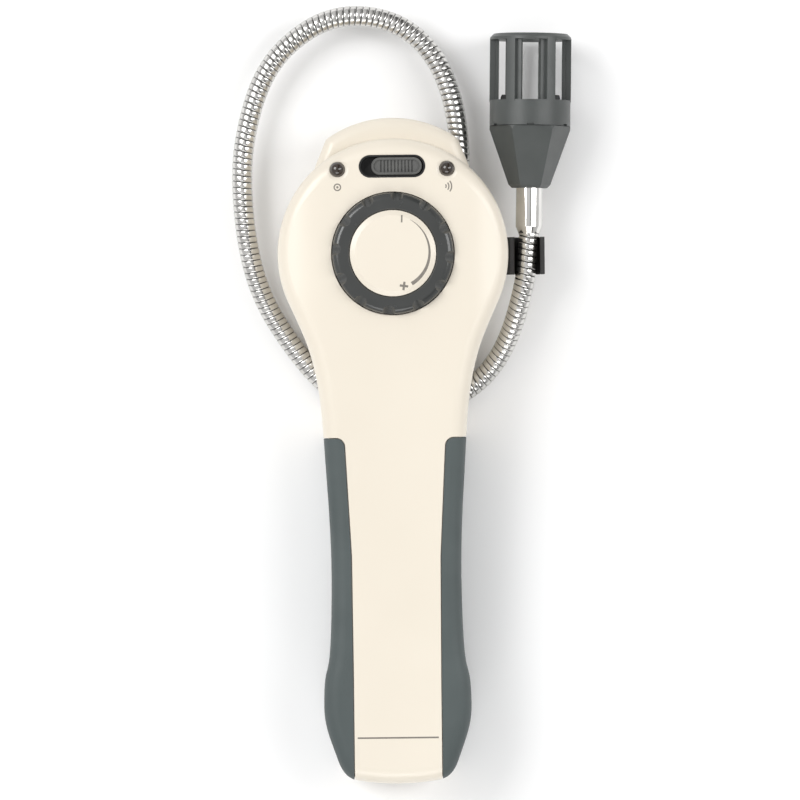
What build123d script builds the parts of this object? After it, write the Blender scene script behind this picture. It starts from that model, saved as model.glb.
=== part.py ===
from build123d import *
import os
from math import asin, ceil, cos, pi, radians, sin, sqrt, tan
import numpy as np

# Hand-held combustible gas detector, lying on its back with the dial facing up.
# Millimetres. +X right, +Y towards the head end, +Z out of the front face.
# The origin is where the dial's axis meets the plane that the case rests on.

os.makedirs("parts", exist_ok=True)

seat_gap = 0.05                        # left between pieces that seat on each other
clearance = 0.15                       # left round a piece that slides into its place

# Two AA cells in line, with their spring and plates, set the bay's length
cell_radius, cell_length = 7.25, 50.5
cell_nub_radius, cell_nub = 2.75, 1.0
spring_radius, spring_wire, spring_turns, spring_length = 3.6, 0.35, 4, 5.0
plate_thickness, plate_half_width = 0.4, 5.0
bay_top_y = -60.4
bay_length = 2 * cell_length + spring_length + 2 * plate_thickness + 6 * seat_gap
bay_end_y = bay_top_y - bay_length

# Case outline seen from the front: a round head that runs into a waisted handle
head_radius = 38.2
neck_angle = 24.5                      # where the head's circle ends, below the X axis
neck_run = (6.06, 14.16)               # from there in and down to the neck's side
handle_stations = [(24.7, -48.0), (23.3, -66.0), (21.8, -92.0),
                   (21.7, bay_end_y + 48.5), (22.9, bay_end_y + 31.5)]
handle_flare = (24.4, bay_end_y + 17.5)    # widest place of the handle, near its end
handle_corner = (20.6, bay_end_y + 1.7)
handle_end = (13.5, bay_end_y - 6.7)
tail_y = bay_end_y - 7.9

# Case section
front_z = 41.0
handle_dip = 3.0                       # the handle's front lies this much lower
dip_start, dip_end = -42.0, -86.0
parting_z = 19.5
wall = 2.2
flat_half_width = 22.0                 # the front is flat this far out, then falls away
crown_radius = 40.0
front_edge, back_edge = 5.0, 5.0       # rounding of the outer edges
parting_gap = 0.1

# Hood at the head end, part of the front case
brow_top_y = head_radius + 7.0
brow_corner, brow_base = (21.8, brow_top_y - 6.9), (25.6, brow_top_y - 16.2)
brow_z = 33.5
brow_edge = 3.5
brow_corner_radius = 3.0

# Rubber grips, let into both shells
grip_top_y = -61.0
grip_depth = 1.6
grip_gap = 0.3
grip_inner_top, grip_inner_mid, grip_inner_end = 16.9, 14.9, 14.7
grip_mid_y = -100.0
grip_back_inner = 18.0
grip_corner = 2.7
grip_backing = 2.0                     # shell that carries a grip

# Dial
dial_radius = 20.05
dial_well_gap = 0.4
dial_well_floor_z = 36.0
dial_floor = 2.0
dial_top_z = 44.5
dial_shoulder = 2.2
dial_wall = 2.6
dial_bore_radius = 14.3
dial_lip = 0.5
dial_web = 1.5
scallop_count = 12
scallop_offset = 4.5                   # degrees clockwise from the head end
scallop_radius = 2.6
scallop_depth = 1.1
cap_radius = 14.2
cap_flat_radius = 12.5
cap_top_z = 45.0
hub_radius = 6.5
hub_flange_radius = 12.0
hub_flange = 1.6
shaft_radius = 3.0
shaft_flat = 0.6

# Slide switch and its bezel
switch_y = 28.8
slot_length, slot_width = 20.8, 6.3
bezel_wall = 0.55
bezel_flange = 0.9
bezel_depth = 4.6
bezel_proud = 0.15
bezel_floor = 0.8
slider_length, slider_width = 16.7, 5.75
slider_top_z = 42.0
slider_rest_gap = 0.55                 # left between the slider and the slot's right end
switch_travel = 3.0
slider_lip = 0.75
slider_panel_depth = 0.6
slider_grooves = 10
slider_groove_pitch = 1.14
slider_groove_width = 0.55
stem_length, stem_width = 3.0, 2.2
switch_body = (14.0, 6.6, 5.6)

# Indicator lamps
lamp_x, lamp_y = 18.1, 27.9
lamp_radius = 2.5
lamp_flange_radius = 2.9
lamp_flange_z = 35.0
lamp_flange = 1.0
lamp_dome_z = 40.4
lamp_hole_gap = 0.07
lamp_dish_radius = 3.7
lamp_dish_depth = 0.6
lead_size = 0.5
lead_spacing = 2.54

# Circuit board and what stands on it
board_radius = head_radius - wall - 0.8
board_z, board_thickness = 26.4, 1.6
pot_radius, pot_height = 8.5, 5.6

# Case screws and bosses
head_screw_x = head_radius - 11.7
screw_places = [(head_screw_x, 12.0), (-head_screw_x, 12.0), (15.8, -56.9), (-15.8, -56.9)]
screw_radius = 1.45
screw_head_radius, screw_head = 2.75, 2.2
screw_head_z = 9.0
screw_end_z = 28.0
screw_gap = 0.05
boss_radius = 3.1
boss_step_radius = 4.3
head_bosses = screw_places[:2]

# Sounder behind its slots in the back
sounder_place = (-11.5, 9.5)
sounder_radius, sounder_height = 10.5, 5.0
sounder_ring = 1.2
sounder_slots, sounder_slot_pitch, sounder_slot_width = 5, 2.8, 1.3

# Battery bay: four AA cells in two columns, the door slides off the handle's end
cell_x = cell_radius + 0.1
door_plate = 2.2
cell_z = door_plate + cell_radius + 0.75
bay_half_width = cell_x + cell_radius + 0.7
bay_roof_z = cell_z + cell_radius + 0.25
door_half_width = bay_half_width + 1.1
door_top_y = bay_top_y - 1.8
door_end_half_width = 14.2
door_end_y = bay_end_y - 4.1
door_gap = 0.3
rail_z, rail_height, rail_reach, rail_stem = 3.9, 1.2, 1.0, 1.4
door_grooves, door_groove_pitch, door_groove_depth = 6, 2.4, 0.5

# Gooseneck: interlocked metal hose that leaves the head behind the hood, loops round it,
# passes through a channel behind the neck and comes back up to the clip and the sensor
hose_radius = 3.4
hose_seam_depth = 0.35
hose_pitch = 3.0
hose_exit_x = head_radius - 15.7
sensor_x, sensor_z = head_radius + 7.15, 18.0
hose_route = [
    (hose_exit_x, 17.0, 11.5), (hose_exit_x + 0.2, 30.0, 11.5), (21.6, 45.0, 11.4), (18.2, 58.4, 11.2),
    (11.2, 70.2, 11.0), (1.5, 77.3, 11.0), (-9.5, 80.0, 11.0), (-20.6, 78.8, 11.0),
    (-31.0, 73.2, 11.0), (-38.9, 65.5, 11.0), (-44.3, 56.0, 11.0), (-47.6, 45.7, 11.0),
    (-49.7, 34.5, 11.0), (-50.1, 22.0, 11.0), (-49.1, 9.0, 10.6), (-46.6, -4.5, 9.2),
    (-41.9, -17.0, 7.2), (-35.3, -27.9, 5.7), (-18.0, -46.6, 5.0), (-0.6, -52.8, 5.0),
    (17.4, -49.0, 5.0), (29.8, -40.8, 5.6), (37.9, -28.7, 9.9), (42.3, -15.4, 16.0),
    (sensor_x - 1.25, -7.0, 17.8), (sensor_x - 0.6, 0.0, 18.0),
    (sensor_x, 6.5, sensor_z), (sensor_x + 0.14, 13.0, sensor_z),
]
hose_hole_gap = 0.2
channel_gap = 0.7
channel_block_z = 11.6
channel_block_top_y, channel_block_end_y = -36.0, -58.0
nut_across_flats, nut_thickness = 11.0, 4.0
nut_corner_x = hose_exit_x + nut_across_flats / 2 / cos(pi / 6)
nut_y = sqrt((head_radius - wall)**2 - nut_corner_x**2) - 0.25
nut_boss_radius = 6.6

# Clip on the side of the head
clip_x = head_radius + 6.5
clip_bore_radius, clip_wall = 4.25, 1.5
clip_length, clip_centre_y = 12.4, -0.8
clip_mouth_z = 21.6
clip_peg_radius, clip_peg_head_radius, clip_peg_head = 2.0, 2.9, 1.3
clip_peg_z = 15.2

# Ferrule, sensor base and guard share one axis, which leans a little to the right.
# They are shaped round the Y axis and then placed, leaning about the ferrule's foot.
sensor_lean = 1.15
ferrule_radius, ferrule_y, ferrule_bore_end = 4.45, 5.9, 14.5
ferrule_nose = 1.2
ferrule_spigot_radius, ferrule_spigot = 3.2, 3.6
base_y, base_chamfer = 21.7, 1.1
base_rim_y = 42.3
guard_radius = 13.45
guard_wall = 2.7
base_facets = 6
base_neck_corner = 7.0                 # from the axis to the facets' corners, at the neck
base_rim_corner = guard_radius + 0.45  # and at the rim, where the corners are turned off
base_turn = 3.0                        # how far the facets stand off square
base_well_y = 36.5
guard_end_y = 73.0
guard_band_y = 50.9
guard_window_end_y = 71.0
guard_posts = 6
guard_post_width = 3.1
guard_post_proud = 0.12
guard_bar, guard_bar_width = 0.9, 5.7  # thin bar behind each post, wider than it
guard_corner = 1.1
guard_hole_radius = 8.6
guard_joint_gap = 0.15
notch_width, notch_depth = 2.4, 0.5
seat_radius, seat_top_y = guard_radius - guard_wall - 0.25, 49.4
seat_foot_radius = 8.0
lug_angles = (60, 120, -60, -120)
lug_top_y, lug_width, lug_depth = 52.6, 3.4, 2.2
element_radius, element_y, element_top_y = 4.7, 44.0, 50.2


def plan_face(curves):
    """Face inside a closed chain of curves drawn in the XY plane."""
    return Face(Wire([edge for curve in curves for edge in curve.edges()]))


def prism(face, z_low, z_high):
    """Upright prism on a face drawn in the XY plane."""
    return Pos(0, 0, z_low) * extrude(face, z_high - z_low, dir=(0, 0, 1))


def both_sides(shape):
    """A shape with its mirror image across the middle plane."""
    return shape + mirror(shape, about=Plane.YZ)


def block(x_range, y_range, z_range):
    """Box between two limits on each axis."""
    size = [high - low for low, high in (x_range, y_range, z_range)]
    middle = [(high + low) / 2 for low, high in (x_range, y_range, z_range)]
    return Pos(*middle) * Box(*size)


def post(radius, z_low, z_high, x=0.0, y=0.0):
    """Upright cylinder between two heights."""
    return Pos(x, y, (z_low + z_high) / 2) * Cylinder(radius, z_high - z_low)


def rod(radius, y_low, y_high, x, z):
    """Cylinder along Y between two places."""
    return Pos(x, (y_low + y_high) / 2, z) * Rot(X=90) * Cylinder(radius, y_high - y_low)


def turned(points):
    """Solid of revolution about the Y axis, from (radius, y) points."""
    return revolve(plan_face([Polyline(*points, close=True)]), Axis.Y)


def round_y(shape, copies, start=0.0):
    """Copies of a shape spread evenly round the Y axis."""
    return [Rot(Y=start + i * 360 / copies) * shape for i in range(copies)]


def on_sensor_axis(shape):
    """A shape made round the Y axis, placed on the sensor's leaning axis."""
    return Pos(sensor_x, ferrule_y, sensor_z) * Rot(Z=-sensor_lean) * Pos(0, -ferrule_y, 0) * shape


def spun(points):
    """Solid of revolution about Z, from (radius, z) points."""
    return revolve(Plane.XZ * plan_face([Polyline(*points, close=True)]), Axis.Z)


def stadium(length, width, z_low, z_high, x, y):
    """Upright prism with round ends, long along X."""
    return Pos(x, y, 0) * prism(SlotOverall(length, width).face(), z_low, z_high)


def outline(inset=0.0):
    """Case outline moved inwards by an inset."""
    radius, angle = head_radius - inset, radians(neck_angle)
    start = (radius * cos(angle), -radius * sin(angle))
    flare = (handle_flare[0] - inset, handle_flare[1])
    neck = (head_radius * cos(angle) - neck_run[0] - inset, -head_radius * sin(angle) - neck_run[1])
    stations = [(x - inset, y) for x, y in handle_stations]
    side = Spline(start, neck, *stations, flare, tangents=[(-sin(angle), -cos(angle)), (0, -1)])
    end_x, end_y, low_y = handle_end[0] - 0.3 * inset, handle_end[1] + inset, tail_y + inset
    tail_radius = (end_x**2 + (end_y - low_y)**2) / (2 * (end_y - low_y))
    tail_tangent = (-sqrt(1 - (end_x / tail_radius)**2), -end_x / tail_radius)
    corner = (handle_corner[0] - 0.85 * inset, handle_corner[1] + 0.5 * inset)
    bottom = Spline(flare, corner, (end_x, end_y), tangents=[(0, -1), tail_tangent])
    head = ThreePointArc(start, (0, radius), (-start[0], start[1]))
    tail = ThreePointArc((end_x, end_y), (0, low_y), (-end_x, end_y))
    return plan_face([head, tail, side, bottom,
                      mirror(side, about=Plane.YZ), mirror(bottom, about=Plane.YZ)])


def crown(inset):
    """Everything under the front's cross-section: flat in the middle, falling at the sides."""
    top, radius, turn = front_z - inset, crown_radius - inset, asin(0.7)
    rim = (flat_half_width + radius * sin(turn), top - radius + radius * cos(turn))
    middle = (flat_half_width + radius * sin(turn / 2), top - radius + radius * cos(turn / 2))
    fall = ThreePointArc((flat_half_width, top), middle, rim)
    low = Polyline(rim, (rim[0], -front_z), (-rim[0], -front_z), (-rim[0], rim[1]))
    flat = Line((-flat_half_width, top), (flat_half_width, top))
    section = Plane.XZ * plan_face([flat, fall, low, mirror(fall, about=Plane.YZ)])
    return extrude(section, -2 * tail_y, both=True)


def side_profile(inset):
    """Everything under the front's line from head to handle, which dips at the neck."""
    top, low = front_z - inset, front_z - handle_dip - inset
    far = -2 * tail_y
    dip = Spline((dip_start, top), (dip_end, low), tangents=[(-1, 0), (-1, 0)])
    around = Polyline((dip_end, low), (-far, low), (-far, -far), (far, -far), (far, top), (dip_start, top))
    return extrude(Plane.YZ * plan_face([dip, around]), 2 * head_radius, both=True)


def case_form(inset=0.0):
    """Whole case as one solid, moved inwards by an inset, with its edges rounded."""
    solid = prism(outline(inset), inset, front_z + 1) & crown(inset) & side_profile(inset)
    sides = [edge for face in solid.faces() if abs(face.normal_at().Z) < 0.02 for edge in face.edges()]
    upper = [edge for edge in sides if edge.bounding_box().min.Z > parting_z]
    solid = fillet(upper, front_edge - inset)
    lower = [edge for edge in solid.edges() if edge.bounding_box().max.Z < inset + 0.01]
    return fillet(lower, back_edge - inset)


def brow_form(inset=0.0):
    """Hood beyond the head's round edge."""
    corner = (brow_corner[0] - inset, brow_corner[1] - inset)
    base = (brow_base[0] - inset, brow_base[1])
    top = ThreePointArc((-corner[0], corner[1]), (0, brow_top_y - inset), corner)
    around = Polyline(corner, base, (base[0], 0), (-base[0], 0), (-base[0], base[1]), (-corner[0], corner[1]))
    solid = prism(plan_face([top, around]), parting_z + inset, brow_z - inset)
    upright = [e for e in solid.edges() if abs(e.tangent_at(0).Z) > 0.99 and e.center().Y > base[1] + 1]
    solid = fillet(upright, brow_corner_radius)
    top_edges = [e for e in solid.edges().group_by(Axis.Z)[-1] if e.center().Y > 1]
    return fillet(top_edges, brow_edge - inset)


def grip_region(gap=0.0):
    """Space of the right grip: a band round the handle's side, wider on the front."""
    top, far = grip_top_y + gap, tail_y - 10
    reach = 2 * head_radius
    front = Polyline((grip_inner_end - gap, far), (grip_inner_end - gap, grip_mid_y * 1.4),
                     (grip_inner_mid - gap, grip_mid_y), (grip_inner_top - gap, top),
                     (reach, top), (reach, far), (grip_inner_end - gap, far))
    front = prism(plan_face([front]), parting_z, front_z + 1)
    back = block((grip_back_inner - gap, reach), (far, top), (-front_z, parting_z))
    corners = [e for solid in (front, back) for e in solid.edges()
               if abs(e.tangent_at(0).Z) > 0.99 and e.center().Y > top - 1 and e.center().X < reach - 1]
    front = fillet([e for e in front.edges() if e in corners], grip_corner + gap)
    back = fillet([e for e in back.edges() if e in corners], grip_corner + gap)
    return front + back


def hose_line(spacing):
    """Centres and directions along the gooseneck, at equal steps of a natural cubic spline."""
    points = np.array(hose_route)
    step = np.linalg.norm(np.diff(points, axis=0), axis=1)
    knots = np.concatenate([[0.0], np.cumsum(step)])
    count = len(points)
    matrix, right = np.eye(count), np.zeros((count, 3))
    for i in range(1, count - 1):
        matrix[i, i - 1:i + 2] = step[i - 1], 2 * (step[i - 1] + step[i]), step[i]
        right[i] = 6 * ((points[i + 1] - points[i]) / step[i] - (points[i] - points[i - 1]) / step[i - 1])
    bend = np.linalg.solve(matrix, right)

    def at(place):
        i = np.clip(np.searchsorted(knots, place) - 1, 0, count - 2)
        a, b, h = (knots[i + 1] - place)[:, None], (place - knots[i])[:, None], step[i][:, None]
        return ((bend[i] * a**3 + bend[i + 1] * b**3) / (6 * h)
                + (points[i] / h - bend[i] * h / 6) * a + (points[i + 1] / h - bend[i + 1] * h / 6) * b)

    fine = np.linspace(0, knots[-1], 40 * count)
    length = np.concatenate([[0.0], np.cumsum(np.linalg.norm(np.diff(at(fine), axis=0), axis=1))])
    steps = 2 * ceil(length[-1] / spacing / 2)
    places = np.interp(np.linspace(0, length[-1], steps + 1), length, fine)
    small = 0.01
    directions = at(np.minimum(places + small, knots[-1])) - at(np.maximum(places - small, 0))
    return at(places), directions


def make_gooseneck():
    """Ribbed hose: rings of the crown radius and the seam radius by turns, joined by cones."""
    centres, directions = hose_line(hose_pitch / 2)
    rings = []
    for i, (centre, direction) in enumerate(zip(centres, directions)):
        radius = hose_radius - hose_seam_depth * ((i + 1) % 2)
        plane = Plane(origin=tuple(centre), x_dir=(0, 0, 1), z_dir=tuple(direction))
        rings.append(plane * Wire.make_circle(radius))
    return Solid.make_loft(rings, ruled=True)


def neck_channel():
    """Channel behind the neck, turned about the centre of the gooseneck's bend there."""
    centres, _ = hose_line(hose_pitch / 2)
    low = centres[centres[:, 1] < channel_block_top_y + hose_radius]
    left, middle, right = low[0], low[np.argmin(low[:, 1])], low[-1]
    # the centre of the circle through three points in plan
    rows = 2 * np.array([middle[:2] - left[:2], right[:2] - left[:2]])
    centre = np.linalg.solve(rows, [middle[:2] @ middle[:2] - left[:2] @ left[:2],
                                    right[:2] @ right[:2] - left[:2] @ left[:2]])
    radius = float(np.linalg.norm(middle[:2] - centre))
    half, height = hose_radius + channel_gap, float(middle[2])
    arc = ThreePointArc((radius - half, height), (radius, height + half), (radius + half, height))
    around = Polyline((radius + half, height), (radius + half, -1), (radius - half, -1), (radius - half, height))
    ring = Pos(float(centre[0]), float(centre[1]), 0) * revolve(Plane.XZ * plan_face([arc, around]), Axis.Z)
    return ring & block((-90, 90), (-90, channel_block_top_y + 8), (-2, front_z))


def slider_centre_x():
    return (slot_length - slider_length) / 2 - slider_rest_gap


outer = case_form()
under_grips = case_form(grip_depth)
head_cavity = case_form(wall) & block((-90, 90), (grip_top_y + 3, 90), (-1, 90))
handle_cavity = case_form(grip_depth + grip_backing) & block((-90, 90), (-200, grip_top_y + 3.01), (-1, 90))
front_space = block((-90, 90), (-200, 90), (parting_z, 90))
rear_space = block((-90, 90), (-200, 90), (-1, parting_z - parting_gap))
grip_space = grip_region()
grip_recess = both_sides(grip_region(grip_gap) - under_grips)


def make_front_case():
    """Front shell with its hood, dial well, switch and lamp openings and screw bosses."""
    roof_z = front_z - wall
    case = (outer & front_space) + brow_form()
    case -= (head_cavity + handle_cavity) & front_space
    case -= brow_form(wall) & block((-90, 90), (0, 90), (parting_z + wall, 90))
    well_radius = dial_radius + dial_well_gap
    case += post(well_radius + wall, dial_well_floor_z - dial_floor, roof_z + 0.5)
    for x, y in screw_places:
        case += post(boss_radius, parting_z + 0.05, roof_z + 0.5, x, y)
    for x, y in head_bosses:
        case += post(boss_step_radius, board_z + board_thickness + seat_gap, roof_z + 0.5, x, y)
    for x, y in screw_places:
        case -= post(screw_radius + screw_gap, parting_z - 1, screw_end_z + 1, x, y)
    case -= post(well_radius, dial_well_floor_z, front_z + 5)
    case -= post(hub_radius + dial_well_gap, 0, front_z)
    bezel_length, bezel_width = slot_length + 2 * bezel_wall, slot_width + 2 * bezel_wall
    case -= stadium(bezel_length + 0.1, bezel_width + 0.1, roof_z - 1, front_z + 5, 0, switch_y)
    case -= stadium(bezel_length + 2 * bezel_flange + 0.1, bezel_width + 2 * bezel_flange + 0.1,
                    roof_z - bezel_depth, roof_z, 0, switch_y)
    dish_ball = (lamp_dish_radius**2 + lamp_dish_depth**2) / (2 * lamp_dish_depth)
    for x in (-lamp_x, lamp_x):
        case -= post(lamp_radius + lamp_hole_gap, lamp_flange_z, front_z + 5, x, lamp_y)
        case -= post(lamp_flange_radius + 0.1, board_z, lamp_flange_z + seat_gap, x, lamp_y)
        case -= Pos(x, lamp_y, front_z + dish_ball - lamp_dish_depth) * Sphere(dish_ball)
    return case - grip_recess


def make_rear_case():
    """Rear shell with battery bay, neck channel, sound slots, hose hole and screw bosses."""
    case = outer & rear_space
    neck_block = block((-90, 90), (channel_block_end_y, channel_block_top_y), (-1, channel_block_z))
    case -= head_cavity - neck_block
    for x, y in screw_places:
        case += post(boss_radius, wall - 0.5, parting_z - parting_gap, x, y)
    wall_y = sqrt(head_radius**2 - hose_route[1][0]**2)
    case += rod(nut_boss_radius, nut_y, wall_y, hose_route[0][0], hose_route[0][2]) & under_grips
    x, y = sounder_place
    ring = post(sounder_radius + sounder_ring + 0.1, wall - 0.1, wall + 0.6 * sounder_height, x, y)
    case += ring - post(sounder_radius + 0.1, 0, parting_z, x, y)
    for i in range(sounder_slots):
        offset = (i - (sounder_slots - 1) / 2) * sounder_slot_pitch
        length = 1.5 * sqrt(sounder_radius**2 - (1.3 * offset)**2)
        case -= stadium(length, sounder_slot_width, -1, wall + 0.05, x, y + offset)
    case -= neck_channel()
    case -= rod(hose_radius + hose_hole_gap, nut_y - 1, head_radius, hose_route[1][0], hose_route[0][2])
    for x, y in screw_places:
        case -= post(screw_radius + screw_gap, -1, parting_z + 1, x, y)
        case -= post(screw_head_radius + 0.15, -1, screw_head_z + screw_head + screw_gap, x, y)
    peg_hole = Rot(Y=90) * Cylinder(clip_peg_radius + seat_gap, 4 * wall)
    case -= Pos(head_radius - wall, clip_centre_y, clip_peg_z) * peg_hole
    case -= block((-bay_half_width, bay_half_width), (bay_end_y, bay_top_y), (-1, bay_roof_z))
    case -= door_space()
    return case - grip_recess


def door_space():
    """Room that the door and its rails need in the rear shell, open at the handle's end."""
    far = tail_y - 5
    width, end_width = door_half_width + door_gap, door_end_half_width + door_gap
    plate = block((-width, width), (far, door_top_y + door_gap), (-1, door_plate + door_gap / 2))
    end = block((-end_width, end_width), (far, door_end_y + door_gap), (-1, parting_z + 1))
    inner = bay_half_width - rail_stem - 2 * door_gap
    slot = block((inner, bay_half_width), (far, door_top_y + door_gap), (0, rail_z + rail_height + door_gap))
    groove = block((inner, bay_half_width + rail_reach + door_gap), (far, door_top_y + door_gap),
                   (rail_z - door_gap / 2, rail_z + rail_height + door_gap))
    return plate + end + both_sides(slot + groove)


def make_battery_door():
    """Sliding door: a back plate with hooked rails and the handle's end between the grips."""
    far = tail_y - 5
    plate = block((-door_half_width, door_half_width), (far, door_top_y), (-1, door_plate))
    end_top = parting_z - parting_gap
    end = block((-door_end_half_width, door_end_half_width), (far, door_end_y), (-1, end_top))
    door = outer & (plate + end)
    top, low = door_top_y - 1, bay_end_y
    face = bay_half_width - door_gap
    rail = block((face - rail_stem, face), (low, top), (door_plate - 0.1, rail_z + rail_height))
    rail += block((face - rail_stem, face + rail_reach), (low, top), (rail_z, rail_z + rail_height))
    door += both_sides(rail)
    for i in range(door_grooves):
        y = door_end_y + 12 + i * door_groove_pitch
        door -= stadium(18, 1.1, -1, door_groove_depth, 0, y)
    return door


def make_grip():
    """Right grip, following the case round the handle's side."""
    return (outer & grip_space) - under_grips


def make_dial_ring():
    """Ring with a rounded shoulder and scallops, hung on the hub by a thin web."""
    foot_z, web_z = dial_well_floor_z + 0.3, dial_top_z - 2.9
    radius, corner = dial_radius, dial_shoulder
    arc = ThreePointArc((radius, dial_top_z - corner),
                        (radius - corner * (1 - cos(pi / 4)), dial_top_z - corner * (1 - sin(pi / 4))),
                        (radius - corner, dial_top_z))
    inner = Polyline((radius - corner, dial_top_z), (dial_bore_radius + dial_lip, dial_top_z),
                     (dial_bore_radius, dial_top_z - dial_lip), (dial_bore_radius, web_z),
                     (hub_radius - 0.6 + seat_gap, web_z), (hub_radius - 0.6 + seat_gap, web_z - dial_web),
                     (radius - dial_wall, web_z - dial_web), (radius - dial_wall, foot_z),
                     (radius, foot_z), (radius, dial_top_z - corner))
    ring = revolve(Plane.XZ * plan_face([arc, inner]), Axis.Z)
    # each scallop is a slanting groove across the shoulder, at 45 degrees
    shoulder = radius - corner + corner * cos(pi / 4) + (scallop_radius - scallop_depth) * cos(pi / 4)
    height = dial_top_z - corner + corner * sin(pi / 4) + (scallop_radius - scallop_depth) * sin(pi / 4)
    cutter = Pos(shoulder, 0, height) * Rot(Y=135) * Cylinder(scallop_radius, 12)
    for i in range(scallop_count):
        ring -= Rot(Z=90 - scallop_offset - i * 360 / scallop_count) * cutter
    return ring


def make_dial_cap():
    """Ivory disc in the ring, with a bevelled edge."""
    web_z = dial_top_z - 2.9 + seat_gap
    return spun([(0, web_z), (cap_radius, web_z), (cap_radius, cap_top_z - 0.75),
                 (cap_flat_radius, cap_top_z), (0, cap_top_z)])


def make_dial_hub():
    """Sleeve on the shaft, with the flange that carries the ring."""
    top = dial_top_z - 2.9 - dial_web - seat_gap
    hub = post(hub_radius, dial_well_floor_z - dial_floor + 0.5, top)
    hub += post(hub_flange_radius, top - hub_flange, top)
    hub += post(hub_radius - 0.6, top - 0.1, top + dial_web)
    return hub - make_shaft(seat_gap)


def make_shaft(gap=0.0):
    """Potentiometer shaft with a flat along it."""
    low = board_z + board_thickness + 1.5
    shaft = post(shaft_radius + gap, low, dial_top_z - 3.4 + gap)
    return shaft - block((shaft_radius - shaft_flat + gap, 10), (-10, 10), (board_z + pot_height + 3, 60))


def make_pot():
    """Potentiometer can with the bore that its shaft turns in."""
    low = board_z + board_thickness + seat_gap
    can = post(pot_radius, low, low + pot_height)
    return can - post(shaft_radius + 0.05, low + 1.35, low + 20)


def make_lamp(x):
    """Domed lamp with its two leads down to the board."""
    lamp = post(lamp_radius, lamp_flange_z, lamp_dome_z) + Pos(0, 0, lamp_dome_z) * Sphere(lamp_radius)
    lamp += post(lamp_flange_radius, lamp_flange_z - lamp_flange, lamp_flange_z)
    low = board_z + board_thickness + seat_gap
    for side in (-0.5, 0.5):
        place = side * lead_spacing
        lamp += block((place - lead_size / 2, place + lead_size / 2), (-lead_size / 2, lead_size / 2),
                      (low, lamp_flange_z - lamp_flange / 2))
    return Pos(x, lamp_y, 0) * lamp


def make_bezel():
    """Tub that the slider runs in, let into the front from inside."""
    length, width = slot_length + 2 * bezel_wall, slot_width + 2 * bezel_wall
    low, top = front_z - bezel_depth, front_z + bezel_proud
    tub = stadium(length, width, low, top, 0, switch_y)
    tub += stadium(length + 2 * bezel_flange, width + 2 * bezel_flange,
                   front_z - wall - 1.2, front_z - wall - seat_gap, 0, switch_y)
    tub -= stadium(slot_length, slot_width, low + bezel_floor, top + 1, 0, switch_y)
    middle = slider_centre_x() - switch_travel / 2
    reach = (stem_length + switch_travel) / 2 + 0.4
    return tub - block((middle - reach, middle + reach),
                       (switch_y - stem_width / 2 - 0.3, switch_y + stem_width / 2 + 0.3), (low - 1, low + 2))


def make_slider():
    """Slider with a raised lip round a grooved panel, and the stem that works the switch."""
    x, low = slider_centre_x(), front_z - bezel_depth + bezel_floor + 0.15
    slider = stadium(slider_length, slider_width, low, slider_top_z, x, switch_y)
    slider = chamfer(slider.faces().sort_by(Axis.Z)[-1].edges(), 0.3)
    panel_z = slider_top_z - slider_panel_depth
    slider -= stadium(slider_length - 2 * slider_lip, slider_width - 2 * slider_lip,
                      panel_z, slider_top_z + 1, x, switch_y)
    for i in range(slider_grooves):
        place = x + (i - (slider_grooves - 1) / 2) * slider_groove_pitch
        half = slider_width / 2 - slider_lip - 0.15
        slider -= block((place - slider_groove_width / 2, place + slider_groove_width / 2),
                        (switch_y - half, switch_y + half), (panel_z - 0.5, panel_z + 1))
    stem_low = board_z + board_thickness + 3.0
    return slider + block((x - stem_length / 2, x + stem_length / 2),
                          (switch_y - stem_width / 2, switch_y + stem_width / 2), (stem_low, low + 0.1))


def make_slide_switch():
    """Switch can on the board, slotted for the stem's travel."""
    length, width, height = switch_body
    low = board_z + board_thickness + seat_gap
    middle = slider_centre_x() - switch_travel / 2
    can = block((middle - length / 2, middle + length / 2),
                (switch_y - width / 2, switch_y + width / 2), (low, low + height))
    reach = (stem_length + switch_travel) / 2 + 0.4
    return can - block((middle - reach, middle + reach),
                       (switch_y - stem_width / 2 - 0.3, switch_y + stem_width / 2 + 0.3), (low + 2.5, low + 20))


def make_board():
    """Round board that hangs under the steps of the front bosses."""
    board = post(board_radius, board_z, board_z + board_thickness)
    for x, y in head_bosses:
        board -= post(boss_radius + 0.1, 0, 60, x, y)
    return board


def make_screws():
    """Four identical pan-head screws, driven from the back."""
    screws = []
    for x, y in screw_places:
        top = screw_head_z + screw_head
        screw = post(screw_head_radius, screw_head_z, top) + post(screw_radius, top - 0.1, screw_end_z)
        cross = block((-1.5, 1.5), (-0.35, 0.35), (screw_head_z - 1, screw_head_z + 1.2))
        screw -= cross + Rot(Z=90) * cross
        screws.append(Pos(x, y, 0) * screw)
    return Compound([solid for screw in screws for solid in screw.solids()])


def cell(x, y_low, positive_up):
    """AA cell with its positive nub."""
    body = rod(cell_radius, 0, cell_length - cell_nub, 0, 0)
    body = fillet(body.edges(), 0.5) + rod(cell_nub_radius, cell_length - cell_nub - 0.1, cell_length, 0, 0)
    if not positive_up:
        body = Pos(0, cell_length, 0) * Rot(Z=180) * body
    return Pos(x, y_low, cell_z) * body


def make_spring(x, y_low, y_high):
    """Coil spring standing along Y between its plate and a cell."""
    height = y_high - y_low - 2 * spring_wire
    path = Helix(height / spring_turns, height, spring_radius)
    start = Plane(path @ 0, z_dir=path % 0)
    coil = sweep(start * Circle(spring_wire), path=path)
    return Pos(x, y_high - spring_wire, cell_z) * Rot(X=90) * coil


def make_sounder():
    x, y = sounder_place
    low = wall + seat_gap
    can = post(sounder_radius, low, low + sounder_height, x, y)
    return can - post(1.5, low - 1, low + 1, x, y)


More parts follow.
